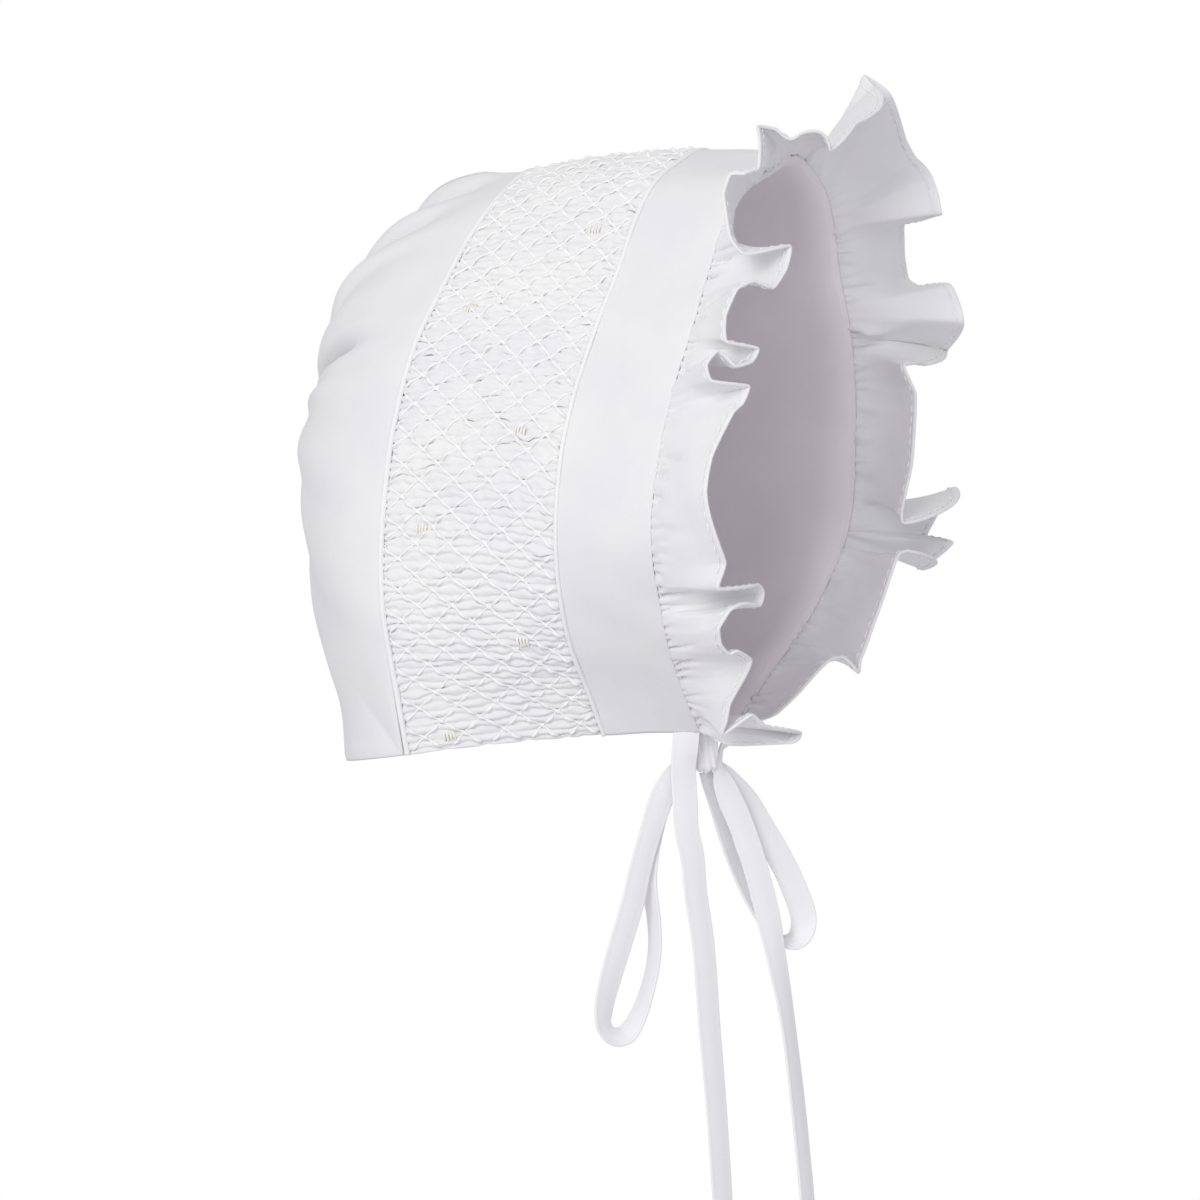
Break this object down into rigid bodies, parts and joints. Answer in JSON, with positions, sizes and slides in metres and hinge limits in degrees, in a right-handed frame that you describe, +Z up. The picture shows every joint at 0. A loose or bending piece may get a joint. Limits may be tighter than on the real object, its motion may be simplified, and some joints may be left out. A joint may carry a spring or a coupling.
{
  "type": "smocked bonnet",
  "caption": "Baby's lined cotton bonnet with a smocked panel over the crown, piped seams, gathered back, frilled face edge and ribbon ties in a bow.",
  "frame": {"origin": "the point of the crown that rests on the head: the inner face of the lining, over the middle of the smocked panel", "axes": "+Z up towards the crown, -Y out of the face opening, +X towards the wearer's left, with the bonnet worn upright"},
  "size_m": [0.1391, 0.1533, 0.2777],
  "materials": {
    "outer_cotton": "plain white cotton lawn, matt",
    "smocked_cotton": "white cotton gathered in fine pleats with smocking stitches",
    "piping_cotton": "white cotton over cord, matt",
    "lining_cotton": "plain white cotton lawn, matt",
    "ruffle_cotton": "fine white cotton with a narrow stitched hem, slightly translucent",
    "ribbon": "soft white ribbon, slight sheen"
  },
  "bodies": {
    "root": {"lining": "lining_cotton", "front_band": "outer_cotton", "back_panel": "outer_cotton", "smocked_panel": "smocked_cotton", "front_piping": "piping_cotton", "back_piping": "piping_cotton", "ruffle": "ruffle_cotton", "left_tie": "ribbon", "right_tie": "ribbon", "left_loop": "ribbon", "right_loop": "ribbon", "bow_knot": "ribbon"}
  },
  "joints": []
}
